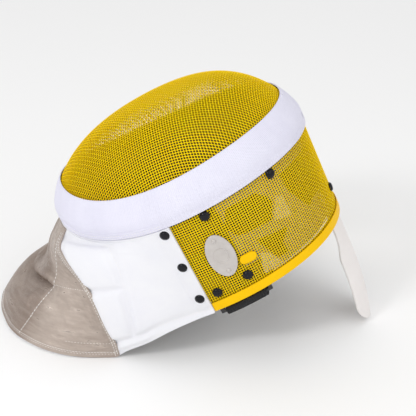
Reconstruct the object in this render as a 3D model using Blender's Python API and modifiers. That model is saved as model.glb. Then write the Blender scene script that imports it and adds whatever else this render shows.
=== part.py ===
"""Fencing mask with a padded throat bib, lying face up on the bib's hem and the tip of its tongue."""
import math

import bmesh
import bpy
from mathutils import Matrix, Vector

# The mask's own frame: +X to the crown, +Y to the wearer's right, +Z out of the face.
# Angles go round the face in degrees: 0 at the crown, 90 at the left side, 180 at the chin.
# Lengths are in metres.

# Seam loop between the face mesh and the side mesh
HALF_HEIGHT = 0.131
HALF_WIDTH = 0.103
CROWN_FULLNESS = 0.03
SEAM_TIP = 0.0022
SEAM_BOW = 0.0053
SEAM_RIPPLE = 0.0025

# Side wall and domed face
WALL_FLARE = 0.02408
FACE_DEPTH = 0.0706
FACE_PEAK_SHIFT = 0.0229
FACE_RISE_POWER = 1.3
FACE_ROUND_POWER = 2.77
MESH_THICKNESS = 0.002
MESH_END_ANGLE = 97.0
CLEARANCE = 0.0003
LAYER_GAP = 0.0006

# Elastic band over the seam
BAND_FRONT = 0.0238
BAND_REAR = 0.0125
BAND_THICKNESS = 0.003

# Steel edging along the rear of the side mesh
RIM_DEPTH = 0.1204
RIM_CROWN_RISE = 0.0083
RIM_SIDE_DROP = 0.0009
RIM_WIDTH = 0.0095
RIM_WALL = 0.0006
JAW_ANGLE = 92.2

# Padded bib
SEAM_STAND = 0.1673
BIB_THICKNESS = 0.0028
BIB_SEAT_ANGLE = 99.0
BIB_SEAT_LENGTH = 0.004
FRONT_THICKNESS = 0.001
FRONT_EASE = 1.04

# Padded liner
LINER_THICKNESS = 0.008
LINER_END_ANGLE = 73.0
LINER_FRONT = 0.019
LINER_REAR_MARGIN = 0.001
LINER_LOOP_GAP = 0.004
LINER_LOOP_ANGLES = (1.9, 1.1)
LINER_OVERCUT = 5.0
CORNER_END = 0.02
TONGUE_RECESS_SHARES = (1.75, 2.2)

# Spring tongue at the back of the head
TONGUE_WIDTH = 0.058
TONGUE_THICKNESS = 0.002
TONGUE_ROOT = 0.076
TONGUE_TIP = 0.242
TONGUE_BEND = 0.0118
TONGUE_BEND_POWER = 3.0
TONGUE_ARCH_RADIUS = 0.08
TONGUE_END_ARCH_RADIUS = 0.042
TONGUE_ARCH_SHARE = 0.3
TONGUE_BLUNT_SHARE = 0.05

# Slot bars and back strap
LOOP_START_ANGLE = 64.7
LOOP_END_ANGLE = 90.6
LOOP_AHEAD = 0.0284
LOOP_REACH = 0.0075
LOOP_THICKNESS = 0.0025
SLOT_FRONT = 0.001
SLOT_REAR = 0.0042
LOOP_COLUMNS = 12
STRAP_THICKNESS = 0.002
STRAP_SAG = 0.010
STRAP_SIDE_GAP = 0.0014

# Side plate, cord lug and fasteners
PLATE_LENGTH = 0.0465
PLATE_WIDTH = 0.027
PLATE_THICKNESS = 0.0012
PLATE_ANGLE = 78.5
PLATE_AHEAD = 0.0524
PLATE_RIVET_SPACING = 0.0345
RIVET_RADIUS = 0.0024
RIVET_HEIGHT = 0.0009
LUG_LENGTH = 0.017
LUG_WIDTH = 0.009
LUG_THICKNESS = 0.0015
LUG_ANGLE = 68.8
LUG_AHEAD = 0.0373
SNAP_RADIUS = 0.005
SNAP_HEIGHT = 0.0024
BIB_SNAP_ANGLE = 95.1
BIB_SNAPS_BACK = (0.0238, 0.0615, 0.0995)
BAND_SNAP_ANGLES = (77.1, 43.5)
RIM_SNAPS = ((87.3, 0.0183), (72.2, 0.0212))
CROWN_RIVET_AHEAD = 0.027

# Rest pose: how far the crown is raised
REST_TILT = 25.89

# Padded bib, one row for each column of cloth from the left side to the chin.
# top: angle on the band. Each point is (x, y, z) as shares of HALF_HEIGHT, HALF_WIDTH and
# SEAM_STAND, in the rest pose and from the seam loop's centre; z = -1 is the floor.
BIB_COLUMNS = (
    {"top": 112.0, "throat": (-0.244, -1.00, -0.307), "fold": (-0.122, -1.03, -0.484),
     "flap": (-0.031, -1.05, -0.638), "hem": (0.061, -1.03, -0.773)},
    {"top": 128.0, "throat": (-0.489, -0.91, -0.342), "fold": (-0.351, -1.01, -0.531),
     "flap": (-0.229, -1.05, -0.732), "hem": (-0.137, -1.02, -0.880)},
    {"top": 144.0, "throat": (-0.702, -0.74, -0.401), "fold": (-0.504, -0.96, -0.579),
     "flap": (-0.382, -1.03, -0.791), "hem": (-0.280, -1.01, -0.945)},
    {"top": 158.0, "throat": (-0.847, -0.515, -0.472), "fold": (-0.611, -0.88, -0.608),
     "flap": (-0.489, -0.99, -0.815), "hem": (-0.389, -1.00, -1.0)},
    {"top": 166.0, "throat": (-0.924, -0.32, -0.519), "fold": (-0.786, -0.74, -0.649),
     "flap": (-0.794, -0.93, -0.821), "hem": (-0.771, -1.02, -1.0)},
    {"top": 172.0, "throat": (-0.958, -0.19, -0.543), "fold": (-0.908, -0.55, -0.691),
     "flap": (-1.053, -0.70, -0.832), "hem": (-1.153, -0.78, -1.0)},
    {"top": 176.0, "throat": (-0.976, -0.10, -0.549), "fold": (-1.031, -0.28, -0.750),
     "flap": (-1.244, -0.37, -0.856), "hem": (-1.344, -0.42, -1.0)},
    {"top": 180.0, "throat": (-0.985, 0.0, -0.549), "fold": (-1.084, 0.0, -0.773),
     "flap": (-1.305, 0.0, -0.868), "hem": (-1.420, 0.0, -1.0)},
)
BIB_FOLDS = ("throat", "fold", "flap", "hem")
BIB_WALL_SHARES = (0.0, 0.04, 0.33, 0.58, 0.80, 1.0)
BIB_FRONT_COLUMN = 5
BIB_GRID = (18, 10)

# Windows of the liner: (angle, share of RIM_DEPTH behind the seam's plane)
LINER_WINDOWS = {
    "front_window": ((55.2, 0.177), (48.1, 0.319), (52.3, 0.443), (69.5, 0.461),
                     (72.5, 0.355), (67.8, 0.185)),
    "rear_window": ((63.4, 0.562), (44.9, 0.620), (53.4, 0.767)),
}

# Rim section: (share of its half width, share of RIM_WIDTH) from the outer lip to the inner lip
RIM_SECTION = ((1.0, 1.0), (1.0, 0.05), (0.75, 0.0), (-0.75, 0.0), (-1.0, 0.05), (-1.0, 1.0))

# Strap path beside one slot bar: (steps inward of the bar's outer face in strap thicknesses,
# share of LOOP_REACH behind the rim), from the loose end round the rear bar to the long run
STRAP_PATH = ((16.0, 1.00), (10.0, 0.80), (6.0, 0.58), (3.6, 0.36), (1.6, 0.28), (0.0, 0.30), (-1.0, 0.50),
              (-1.3, 0.85), (-0.8, 1.12), (0.5, 1.24), (2.4, 1.27), (5.0, 1.32), (9.0, 1.42))


def polar(angle):
    return math.cos(math.radians(angle)), math.sin(math.radians(angle))


def seam_point(angle):
    c, s = polar(angle)
    y = -HALF_WIDTH * s * (1 + CROWN_FULLNESS * c)
    z = -SEAM_TIP * c + SEAM_BOW * polar(2 * angle)[0] - SEAM_RIPPLE * polar(3 * angle)[0]
    return Vector((HALF_HEIGHT * c, y, z))


def outward(angle):
    """Unit normal of the seam loop, seen from the front."""
    along = seam_point(angle + 0.5) - seam_point(angle - 0.5)
    return Vector((-along.y, along.x, 0)).normalized()


def wall_point(angle, z, out=0.0):
    seam = seam_point(angle)
    size = 1 + WALL_FLARE * (z - seam.z) / RIM_DEPTH
    return Vector((seam.x * size, seam.y * size, z)) + outward(angle) * out


def wall_frame(angle, back, out, side=1):
    """Point, outward normal and forward direction of the wall, side -1 on the wearer's right."""
    seam = seam_point(angle)
    taper = WALL_FLARE / RIM_DEPTH
    forward = Vector((seam.x * taper, seam.y * taper, 1)).normalized()
    normal = (outward(angle) - forward * outward(angle).dot(forward)).normalized()
    point = wall_point(angle, -back) + normal * out
    flip = Vector((1, side, 1))
    return point * flip, normal * flip, forward * flip


def face_point(angle, lift):
    """A point of the domed face, lift 0 on the seam and 1 at the peak."""
    seam = seam_point(angle)
    c, s = polar(90 * lift)
    rise = s ** (2 / FACE_RISE_POWER)
    spread = max(c, 0.0) ** (2 / FACE_ROUND_POWER)
    x = FACE_PEAK_SHIFT + (seam.x - FACE_PEAK_SHIFT) * spread
    return Vector((x, seam.y * spread, seam.z + (FACE_DEPTH - seam.z) * rise))


def lift_at(angle, height):
    """The lift at which the face stands this high above the seam."""
    share = height / (FACE_DEPTH - seam_point(angle).z)
    return math.degrees(math.asin(share ** (FACE_RISE_POWER / 2))) / 90


def face_offset(angle, lift, out):
    step = 0.01
    low = max(lift - step, 0.0)
    along = face_point(angle + 1, lift) - face_point(angle - 1, lift)
    up = face_point(angle, low + 2 * step) - face_point(angle, low)
    return face_point(angle, lift) + up.cross(along).normalized() * out


def band_rear(angle):
    return seam_point(angle).z - BAND_REAR


def rim_rear(angle):
    return -RIM_DEPTH + RIM_CROWN_RISE * polar(angle)[0] - RIM_SIDE_DROP * polar(2 * angle)[0]


def ahead_of_rim(angle, length):
    """How far behind the seam's plane a point this far in front of the rim's edge is."""
    return -rim_rear(angle) - length


def blend(a, b, share):
    return a + (b - a) * share


def smooth(share):
    return share * share * (3 - 2 * share)


def smooth_through(points, place):
    """Smooth curve through the points, place counted in points."""
    i = min(int(place), len(points) - 2)
    t = place - i
    a, b = points[i], points[i + 1]
    before = points[i - 1] if i else a * 2 - b
    after = points[i + 2] if i + 2 < len(points) else b * 2 - a
    length = (b - a).length
    leave = (b - before).normalized() * length
    arrive = (after - a).normalized() * length
    ends = a * (1 + 2 * t) * (1 - t) ** 2 + b * t ** 2 * (3 - 2 * t)
    return ends + leave * t * (1 - t) ** 2 - arrive * t ** 2 * (1 - t)


def material(name, colour, roughness, metallic=0.0):
    finish = bpy.data.materials.new(name)
    finish.use_nodes = True
    shader = finish.node_tree.nodes["Principled BSDF"]
    shader.inputs["Base Color"].default_value = (*colour, 1)
    shader.inputs["Roughness"].default_value = roughness
    shader.inputs["Metallic"].default_value = metallic
    finish.diffuse_color = (*colour, 1)
    return finish


def add_object(name, data, finish, rest, folder):
    piece = bpy.data.objects.new(name, data)
    folder.objects.link(piece)
    piece.parent = rest
    if finish:
        piece.data.materials.append(finish)
    return piece


def grid_mesh(name, columns, rows, place):
    """A grid laid on the surface that place(u, v) gives, u and v from 0 to 1."""
    bm = bmesh.new()
    bmesh.ops.create_grid(bm, x_segments=columns, y_segments=rows, size=0.5)
    for vert in bm.verts:
        vert.co = place(vert.co.x + 0.5, vert.co.y + 0.5)
    bmesh.ops.remove_doubles(bm, verts=bm.verts, dist=0.00001)
    mesh = bpy.data.meshes.new(name)
    bm.to_mesh(mesh)
    bm.free()
    mesh.shade_smooth()
    mesh.set_sharp_from_angle(angle=math.radians(40))
    return mesh


def thicken(piece, thickness, side):
    """Side 1 adds the wall outside the surface, -1 inside, 0 on both."""
    solidify = piece.modifiers.new("wall", "SOLIDIFY")
    solidify.thickness = thickness
    solidify.offset = side
    solidify.use_even_offset = True
    solidify.use_quality_normals = True


def mirror(piece):
    fold = piece.modifiers.new("other half", "MIRROR")
    fold.use_axis = (False, True, False)
    fold.merge_threshold = 0.0001


def seat(piece, frame):
    """Stand a flat piece on a wall frame, its +Z along the normal and its +X forward."""
    point, normal, forward = frame
    turn = Matrix((forward, normal.cross(forward), normal)).transposed()
    piece.location = point
    piece.rotation_euler = turn.to_euler()


def front_mesh(kit):
    edge = CLEARANCE / 2

    def place(u, v):
        angle = 360 * u
        return face_point(angle, blend(1.0, lift_at(angle, edge), v))

    piece = kit("front_mesh", grid_mesh("front_mesh", 48, 8, place), "mesh_yellow")
    thicken(piece, MESH_THICKNESS, 0)


def side_mesh(kit):
    def place(u, v):
        angle = blend(-MESH_END_ANGLE, MESH_END_ANGLE, u)
        front = seam_point(angle).z - CLEARANCE / 2
        rear = rim_rear(angle) + RIM_WALL + CLEARANCE
        return wall_point(angle, blend(front, rear, v))

    piece = kit("side_mesh", grid_mesh("side_mesh", 44, 3, place), "mesh_yellow")
    thicken(piece, MESH_THICKNESS, 0)


def trim_band(kit):
    inner = MESH_THICKNESS / 2 + LAYER_GAP
    face_share = 0.75

    def place(u, v):
        angle = 360 * u
        if v < face_share:
            top = lift_at(angle, BAND_FRONT)
            return face_offset(angle, top * (1 - v / face_share), inner)
        back = (v - face_share) / (1 - face_share)
        return wall_point(angle, blend(seam_point(angle).z, band_rear(angle), back), inner)

    piece = kit("trim_band", grid_mesh("trim_band", 60, 4, place), "band_white")
    thicken(piece, BAND_THICKNESS, 1)


def rim_edging(kit):
    half = MESH_THICKNESS / 2 + CLEARANCE + RIM_WALL
    end = JAW_ANGLE - math.degrees(CLEARANCE / HALF_WIDTH)
    steps = len(RIM_SECTION) - 1

    def place(u, v):
        angle = blend(-end, end, u)
        side, share = RIM_SECTION[round(v * steps)]
        return wall_point(angle, rim_rear(angle) + share * RIM_WIDTH, side * half)

    piece = kit("rim_edging", grid_mesh("rim_edging", 40, steps, place), "rim_yellow")
    thicken(piece, RIM_WALL, -1)


def wall_column(angle, out):
    """Bib points that lie flat on the side wall, in the mask's frame."""
    top = band_rear(angle) - CLEARANCE
    bottom = rim_rear(angle)
    return [wall_point(angle, blend(top, bottom, share), out) for share in BIB_WALL_SHARES]


def bib_columns(out):
    """All bib columns from the left side to the right side, in the mask's frame."""
    to_mask = Matrix.Rotation(math.radians(REST_TILT), 3, "Y")
    half = [wall_column(JAW_ANGLE, out), wall_column(BIB_SEAT_ANGLE, out)]
    for row in BIB_COLUMNS:
        angle = row["top"]
        top = band_rear(angle) - CLEARANCE
        column = [wall_point(angle, top, out), wall_point(angle, top - BIB_SEAT_LENGTH, out)]
        for fold in BIB_FOLDS:
            x, y, z = row[fold]
            column.append(to_mask @ Vector((x * HALF_HEIGHT, y * HALF_WIDTH, z * SEAM_STAND)))
        half.append(column)
    other = [[Vector((p.x, -p.y, p.z)) for p in column] for column in reversed(half[:-1])]
    return half + other


def bib_surface():
    """The inner face of the bib's cloth."""
    out = MESH_THICKNESS / 2 + CLEARANCE
    columns = bib_columns(out)
    middle = (len(columns) - 1) / 2
    rows = len(BIB_FOLDS) + 1

    def place(u, v):
        if u * middle < 1:
            angle = blend(JAW_ANGLE, BIB_SEAT_ANGLE, u * middle)
            return smooth_through(wall_column(angle, out), v * rows)
        across = [smooth_through(column, v * rows) for column in columns]
        point = smooth_through(across, u * middle)
        if u > 0.9999:
            point.y = 0.0
        return point

    return place


def bib(kit):
    piece = kit("bib", grid_mesh("bib", BIB_GRID[0], BIB_GRID[1], bib_surface()), "bib_white")
    mirror(piece)
    thicken(piece, BIB_THICKNESS, 1)


def bib_front(kit):
    """The silver cover: the front columns of the bib's own sheet, laid over its outer face."""
    steps, rows = BIB_GRID
    half = len(BIB_COLUMNS) + 1
    first = round(steps * BIB_FRONT_COLUMN / half)
    mesh = grid_mesh("bib_front", steps, rows, bib_surface())
    bm = bmesh.new()
    bm.from_mesh(mesh)
    bm.verts.ensure_lookup_table()
    bm.normal_update()
    middle = [vert for vert in bm.verts if abs(vert.co.y) < 0.00001]
    for vert in middle:
        vert.normal = Vector((vert.normal.x, 0, vert.normal.z)).normalized()
    lift = BIB_THICKNESS + CLEARANCE
    for vert in bm.verts:
        vert.co += vert.normal * lift * FRONT_EASE
    side = [vert for vert in bm.verts if vert.index % (steps + 1) < first]
    bmesh.ops.delete(bm, geom=side, context="VERTS")
    bm.to_mesh(mesh)
    bm.free()
    piece = kit("bib_front", mesh, "front_silver")
    mirror(piece)
    thicken(piece, FRONT_THICKNESS, 1)


def cutter(kit, name, outline, side):
    """A prism through the liner's wall over an outline of (angle, share of depth) corners."""
    reach = 2 * LINER_THICKNESS
    corners = len(outline)
    bm = bmesh.new()
    bmesh.ops.create_cone(bm, cap_ends=True, segments=corners, radius1=1, radius2=1, depth=1)
    for vert in bm.verts:
        turn = math.degrees(math.atan2(vert.co.y, vert.co.x)) - 90
        angle, share = outline[round(turn * corners / 360) % corners]
        point = wall_point(angle, -share * RIM_DEPTH, reach / 2 if vert.co.z > 0 else -reach)
        vert.co = Vector((point.x, point.y * side, point.z))
    bm.normal_update()
    bmesh.ops.recalc_face_normals(bm, faces=bm.faces)
    mesh = bpy.data.meshes.new(name)
    bm.to_mesh(mesh)
    bm.free()
    piece = kit(name, mesh, None)
    piece.hide_render = True
    piece.display_type = "WIRE"
    return piece


def liner_cuts():
    """The windows, and the corner that is cut away round the slot bar."""
    front = (RIM_DEPTH - LOOP_AHEAD - LINER_LOOP_GAP) / RIM_DEPTH
    rear = 1 - CORNER_END
    beside_front, beside_rear = (LOOP_START_ANGLE - ease for ease in LINER_LOOP_ANGLES)
    past = LINER_END_ANGLE + LINER_OVERCUT
    corner = ((beside_front, front), (beside_rear, rear), (past, rear), (past, front))
    return {**LINER_WINDOWS, "corner": corner}


def liner(kit, cutters):
    side_out = MESH_THICKNESS / 2 + CLEARANCE + RIM_WALL + CLEARANCE
    under_tongue = side_out + TONGUE_THICKNESS + CLEARANCE
    tongue_side = math.degrees(TONGUE_WIDTH / 2 / HALF_HEIGHT)
    ease_start, ease_end = (share * tongue_side for share in TONGUE_RECESS_SHARES)

    def place(u, v):
        angle = blend(-LINER_END_ANGLE, LINER_END_ANGLE, u)
        ease = min(max((ease_end - abs(angle)) / (ease_end - ease_start), 0.0), 1.0)
        rear = rim_rear(angle) + RIM_WIDTH + LINER_REAR_MARGIN
        return wall_point(angle, blend(-LINER_FRONT, rear, v), -blend(side_out, under_tongue, ease))

    piece = kit("liner", grid_mesh("liner", 40, 3, place), "liner_grey")
    thicken(piece, LINER_THICKNESS, -1)
    for name, outline in liner_cuts().items():
        for word, side in (("left", 1), ("right", -1)):
            cut = piece.modifiers.new(f"{name}_{word}", "BOOLEAN")
            cut.operation = "DIFFERENCE"
            cut.object = cutter(cutters, f"cut_{name}_{word}", outline, side)


def back_tongue(kit):
    inner = MESH_THICKNESS / 2 + CLEARANCE + RIM_WALL + CLEARANCE
    round_end = TONGUE_WIDTH / 2

    def place(u, v):
        back = blend(TONGUE_ROOT, TONGUE_TIP, v)
        start = wall_point(0, -RIM_DEPTH, -inner)
        arch = TONGUE_ARCH_RADIUS
        if back < RIM_DEPTH:
            x = wall_point(0, -back, -inner).x
        else:
            past = (back - RIM_DEPTH) / (TONGUE_TIP - RIM_DEPTH)
            x = start.x - TONGUE_BEND * past ** TONGUE_BEND_POWER
            arch = blend(arch, TONGUE_END_ARCH_RADIUS, smooth(min(past / TONGUE_ARCH_SHARE, 1.0)))
        near_end = min(TONGUE_TIP - back, round_end)
        narrow = max(1 - (1 - near_end / round_end) ** 2, TONGUE_BLUNT_SHARE) ** 0.5
        y = (0.5 - u) * TONGUE_WIDTH * narrow
        drop = arch - (arch ** 2 - y ** 2) ** 0.5
        return Vector((x - drop, y, -back))

    piece = kit("back_tongue", grid_mesh("back_tongue", 8, 24, place), "tongue_white")
    thicken(piece, TONGUE_THICKNESS, -1)


def strap_loop(kit, name, side):
    """A thin plate that follows the wall inside the rim, with a slot behind it for the strap."""
    out = -(MESH_THICKNESS / 2 + 2 * CLEARANCE + RIM_WALL)

    def place(u, v):
        angle = blend(LOOP_START_ANGLE, LOOP_END_ANGLE, u)
        rear = rim_rear(angle)
        rows = (LOOP_AHEAD - RIM_DEPTH, rear + SLOT_FRONT, rear - SLOT_REAR, rear - LOOP_REACH)
        point = wall_point(angle, rows[round(v * 3)], out)
        return Vector((point.x, point.y * side, point.z))

    mesh = grid_mesh(name, LOOP_COLUMNS, 3, place)
    bm = bmesh.new()
    bm.from_mesh(mesh)
    bm.faces.ensure_lookup_table()
    slot = [bm.faces[LOOP_COLUMNS + i] for i in range(1, LOOP_COLUMNS - 1)]
    bmesh.ops.delete(bm, geom=slot, context="FACES")
    if side < 0:
        bmesh.ops.reverse_faces(bm, faces=bm.faces)
    bm.to_mesh(mesh)
    bm.free()
    piece = kit(name, mesh, "loop_black")
    thicken(piece, LOOP_THICKNESS, -1)


def back_strap(kit):
    """The strap from one slot bar to the other, each end folded round its bar."""
    face = MESH_THICKNESS / 2 + 2 * CLEARANCE + RIM_WALL
    post = (LOOP_END_ANGLE - LOOP_START_ANGLE) / LOOP_COLUMNS
    margin = post + math.degrees(STRAP_SIDE_GAP / HALF_WIDTH)
    run_steps = 10
    steps = len(STRAP_PATH) - 1 + run_steps

    def place(u, v):
        angle = blend(LOOP_START_ANGLE + margin, LOOP_END_ANGLE - margin, u)
        edge = wall_point(angle, rim_rear(angle), -face)
        row = round(v * steps)
        last = len(STRAP_PATH) - 1
        inward, share = STRAP_PATH[min(row, last)]
        y = edge.y + inward * STRAP_THICKNESS
        z = rim_rear(angle) - share * LOOP_REACH
        if row > last:
            along = (row - last) / run_steps
            z -= STRAP_SAG * math.sin(math.pi / 2 * along)
            y *= 1 - along
        return Vector((edge.x, y, z))

    piece = kit("back_strap", grid_mesh("back_strap", 3, steps, place), "strap_black")
    mirror(piece)
    thicken(piece, STRAP_THICKNESS, 0)


def button_mesh(name, radius, height):
    """A domed button turned from its profile."""
    profile = ((0, 1.0), (0.45, 0.93), (0.78, 0.62), (0.96, 0.22), (1.0, 0.0), (0, 0.0))
    bm = bmesh.new()
    ring = [bm.verts.new((x * radius, 0, z * height)) for x, z in profile]
    for a, b in zip(ring, ring[1:]):
        bm.edges.new((a, b))
    mesh = bpy.data.meshes.new(name)
    bm.to_mesh(mesh)
    bm.free()
    return mesh


def button(kit, name, mesh, finish, frame):
    piece = kit(name, mesh, finish)
    turn = piece.modifiers.new("turned", "SCREW")
    turn.steps = 10
    turn.render_steps = 10
    turn.use_merge_vertices = True
    turn.merge_threshold = 0.00001
    seat(piece, frame)


def snaps(kit):
    mesh = button_mesh("snap", SNAP_RADIUS, SNAP_HEIGHT)
    on_mesh = MESH_THICKNESS / 2 + CLEARANCE
    on_bib = on_mesh + BIB_THICKNESS + CLEARANCE
    for word, side in (("left", 1), ("right", -1)):
        for i, back in enumerate(BIB_SNAPS_BACK, 1):
            frame = wall_frame(BIB_SNAP_ANGLE, back, on_bib, side)
            button(kit, f"bib_snap_{word}_{i}", mesh, "snap_black", frame)
        for i, angle in enumerate(BAND_SNAP_ANGLES, 1):
            back = SNAP_RADIUS + 2 * CLEARANCE - band_rear(angle)
            button(kit, f"band_snap_{word}_{i}", mesh, "snap_black", wall_frame(angle, back, on_mesh, side))
        for i, (angle, ahead) in enumerate(RIM_SNAPS, 1):
            frame = wall_frame(angle, ahead_of_rim(angle, ahead), on_mesh, side)
            button(kit, f"rim_snap_{word}_{i}", mesh, "snap_black", frame)
    button(kit, "crown_rivet", mesh, "snap_black", wall_frame(0, ahead_of_rim(0, CROWN_RIVET_AHEAD), on_mesh))


def flat_outline(name, points, thickness):
    """A flat plate from its outline, its underside on the plane z = 0."""
    curve = bpy.data.curves.new(name, "CURVE")
    curve.dimensions = "2D"
    curve.fill_mode = "BOTH"
    curve.extrude = thickness / 2
    spline = curve.splines.new("POLY")
    spline.points.add(len(points) - 1)
    for point, (x, y) in zip(spline.points, points):
        point.co = (x, y, 0, 1)
    spline.use_cyclic_u = True
    return curve


def oval(length, width, roundness, count):
    """Outline of a rounded oval: roundness 2 is an ellipse and more is squarer."""
    points = []
    for i in range(count):
        c, s = polar(360 * i / count)
        x = math.copysign(abs(c) ** (2 / roundness), c) * length / 2
        y = math.copysign(abs(s) ** (2 / roundness), s) * width / 2
        points.append((x, y))
    return points


def side_plate(kit):
    out = MESH_THICKNESS / 2 + CLEARANCE
    outline = oval(PLATE_LENGTH, PLATE_WIDTH, 2.3, 28)
    plate = kit("side_plate", flat_outline("side_plate", outline, PLATE_THICKNESS), "plate_steel")
    back = ahead_of_rim(PLATE_ANGLE, PLATE_AHEAD)
    seat(plate, wall_frame(PLATE_ANGLE, back, out + PLATE_THICKNESS / 2))
    rivet = button_mesh("plate_rivet", RIVET_RADIUS, RIVET_HEIGHT)
    point, normal, forward = wall_frame(PLATE_ANGLE, back, out + PLATE_THICKNESS + CLEARANCE)
    for i, place in enumerate((0.5, -0.5), 1):
        frame = (point + forward * place * PLATE_RIVET_SPACING, normal, forward)
        button(kit, f"plate_rivet_{i}", rivet, "plate_steel", frame)


def cord_lug(kit):
    outline = oval(LUG_WIDTH, LUG_LENGTH, 4.5, 24)
    lug = kit("cord_lug", flat_outline("cord_lug", outline, LUG_THICKNESS), "rim_yellow")
    back = ahead_of_rim(LUG_ANGLE, LUG_AHEAD)
    seat(lug, wall_frame(LUG_ANGLE, back, MESH_THICKNESS / 2 + CLEARANCE + LUG_THICKNESS / 2))


def lay_down(rest, folder):
    """Turn the mask to its rest pose, with the origin under the middle of its box, on the floor."""
    rest.rotation_euler = (0, -math.radians(REST_TILT), 0)
    bpy.context.view_layer.update()
    view = bpy.context.evaluated_depsgraph_get()
    corners = []
    for piece in folder.objects:
        if piece.type in {"MESH", "CURVE"}:
            shape = piece.evaluated_get(view).to_mesh()
            corners += [piece.matrix_world @ vert.co for vert in shape.vertices]
    low = [min(corner[axis] for corner in corners) for axis in range(3)]
    high = [max(corner[axis] for corner in corners) for axis in range(3)]
    rest.location = (-(low[0] + high[0]) / 2, -(low[1] + high[1]) / 2, -low[2])
    bpy.context.view_layer.update()


def main():
    for old in list(bpy.data.objects):
        bpy.data.objects.remove(old)
    folder = bpy.data.collections.new("fencing_mask")
    guides = bpy.data.collections.new("cutters")
    for group in (folder, guides):
        bpy.context.scene.collection.children.link(group)
    finishes = {
        "mesh_yellow": material("mesh_yellow", (0.90, 0.58, 0.01), 0.42),
        "rim_yellow": material("rim_yellow", (1.0, 0.60, 0.0), 0.35),
        "band_white": material("band_white", (0.82, 0.81, 0.90), 0.85),
        "bib_white": material("bib_white", (0.88, 0.88, 0.91), 0.85),
        "front_silver": material("front_silver", (0.42, 0.36, 0.31), 0.42, 0.5),
        "liner_grey": material("liner_grey", (0.70, 0.69, 0.72), 0.9),
        "tongue_white": material("tongue_white", (0.80, 0.76, 0.73), 0.4),
        "loop_black": material("loop_black", (0.02, 0.02, 0.022), 0.4),
        "strap_black": material("strap_black", (0.012, 0.012, 0.013), 0.95),
        "plate_steel": material("plate_steel", (0.60, 0.56, 0.54), 0.35, 0.8),
        "snap_black": material("snap_black", (0.01, 0.01, 0.012), 0.12),
    }
    rest = bpy.data.objects.new("rest_pose", None)
    folder.objects.link(rest)

    def kit(name, data, finish):
        shared = finish and len(data.materials)
        return add_object(name, data, None if shared else finishes.get(finish), rest, folder)

    def cutters(name, data, _finish):
        return add_object(name, data, None, rest, guides)

    front_mesh(kit)
    side_mesh(kit)
    trim_band(kit)
    rim_edging(kit)
    bib(kit)
    bib_front(kit)
    liner(kit, cutters)
    back_tongue(kit)
    strap_loop(kit, "strap_loop_left", 1)
    strap_loop(kit, "strap_loop_right", -1)
    back_strap(kit)
    snaps(kit)
    side_plate(kit)
    cord_lug(kit)
    lay_down(rest, folder)


main()
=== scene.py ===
# Fencing mask lying face up: woven wire, elastic band, padded bib, liner, tongue and strap.
# Metres throughout. The mask's own frame has +X to the crown, +Y to the wearer's right and +Z out
# of the face. Angles are degrees round the seam: 0 crown, 90 left side, 180 chin.
import math
import random

import bmesh
import bpy
import numpy as np
from mathutils import Matrix, Vector
from mathutils.kdtree import KDTree


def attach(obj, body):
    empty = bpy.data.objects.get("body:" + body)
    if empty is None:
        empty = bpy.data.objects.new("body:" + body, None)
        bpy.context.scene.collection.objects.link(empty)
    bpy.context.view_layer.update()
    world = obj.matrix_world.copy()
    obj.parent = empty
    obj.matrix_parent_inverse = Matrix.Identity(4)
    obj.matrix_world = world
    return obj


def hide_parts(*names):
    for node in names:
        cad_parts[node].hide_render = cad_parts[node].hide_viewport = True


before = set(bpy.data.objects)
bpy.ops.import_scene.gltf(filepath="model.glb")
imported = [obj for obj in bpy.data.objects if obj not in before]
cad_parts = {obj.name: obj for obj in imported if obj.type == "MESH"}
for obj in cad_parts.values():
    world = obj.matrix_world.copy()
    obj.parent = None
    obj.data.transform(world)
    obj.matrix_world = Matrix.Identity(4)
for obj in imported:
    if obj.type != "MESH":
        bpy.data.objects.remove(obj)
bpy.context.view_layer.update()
print("frame loaded:", len(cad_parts), "nodes")

# Main shape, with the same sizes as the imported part
mask = {
    "halfHeight": 0.131, "halfWidth": 0.103, "crownFullness": 0.03,
    "seamTip": 0.0022, "seamBow": 0.0053, "seamRipple": 0.0025,
    "wallFlare": 0.02408, "faceDepth": 0.0706, "peakShift": 0.0229,
    "risePower": 1.3, "roundPower": 2.77,
    "rimDepth": 0.1204, "rimRise": 0.0083, "rimDrop": 0.0009,
    "meshEnd": 97.0, "jaw": 92.2, "gap": 0.0003, "meshHalf": 0.001, "rimWall": 0.0006,
    "restTilt": 25.89, "restPlace": (-0.009195, 0.0, 0.168388),
}
bandShape = {
    "front": 0.0238, "rear": 0.0125, "thick": 0.0016, "inner": 0.0014, "flat": (0.74, 0.04),
    "girth": (0.74, 0.078), "outside": 0.6, "swell": 0.0003,
}
weld = 0.000002  # vertices closer than this become one
halves = (("left", 1), ("right", -1))


def seamLoop(angle):
    a = np.radians(angle)
    y = -mask["halfWidth"] * np.sin(a) * (1 + mask["crownFullness"] * np.cos(a))
    z = mask["seamBow"] * np.cos(2 * a) - mask["seamTip"] * np.cos(a) - mask["seamRipple"] * np.cos(3 * a)
    return np.stack([mask["halfHeight"] * np.cos(a), y, z], -1)


def unit(vectors):
    return vectors / np.maximum(np.linalg.norm(vectors, axis=-1, keepdims=True), 1e-12)


def loopOutward(angle):
    along = seamLoop(angle + 0.5) - seamLoop(angle - 0.5)
    return unit(np.stack([-along[..., 1], along[..., 0], 0 * along[..., 0]], -1))


def wallSurface(angle, z, out=0.0):
    angle, z, out = np.broadcast_arrays(np.asarray(angle, float), z, out)
    seam = seamLoop(angle)
    size = 1 + mask["wallFlare"] * (z - seam[..., 2]) / mask["rimDepth"]
    point = np.stack([seam[..., 0] * size, seam[..., 1] * size, z], -1)
    return point + loopOutward(angle) * out[..., None]


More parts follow.
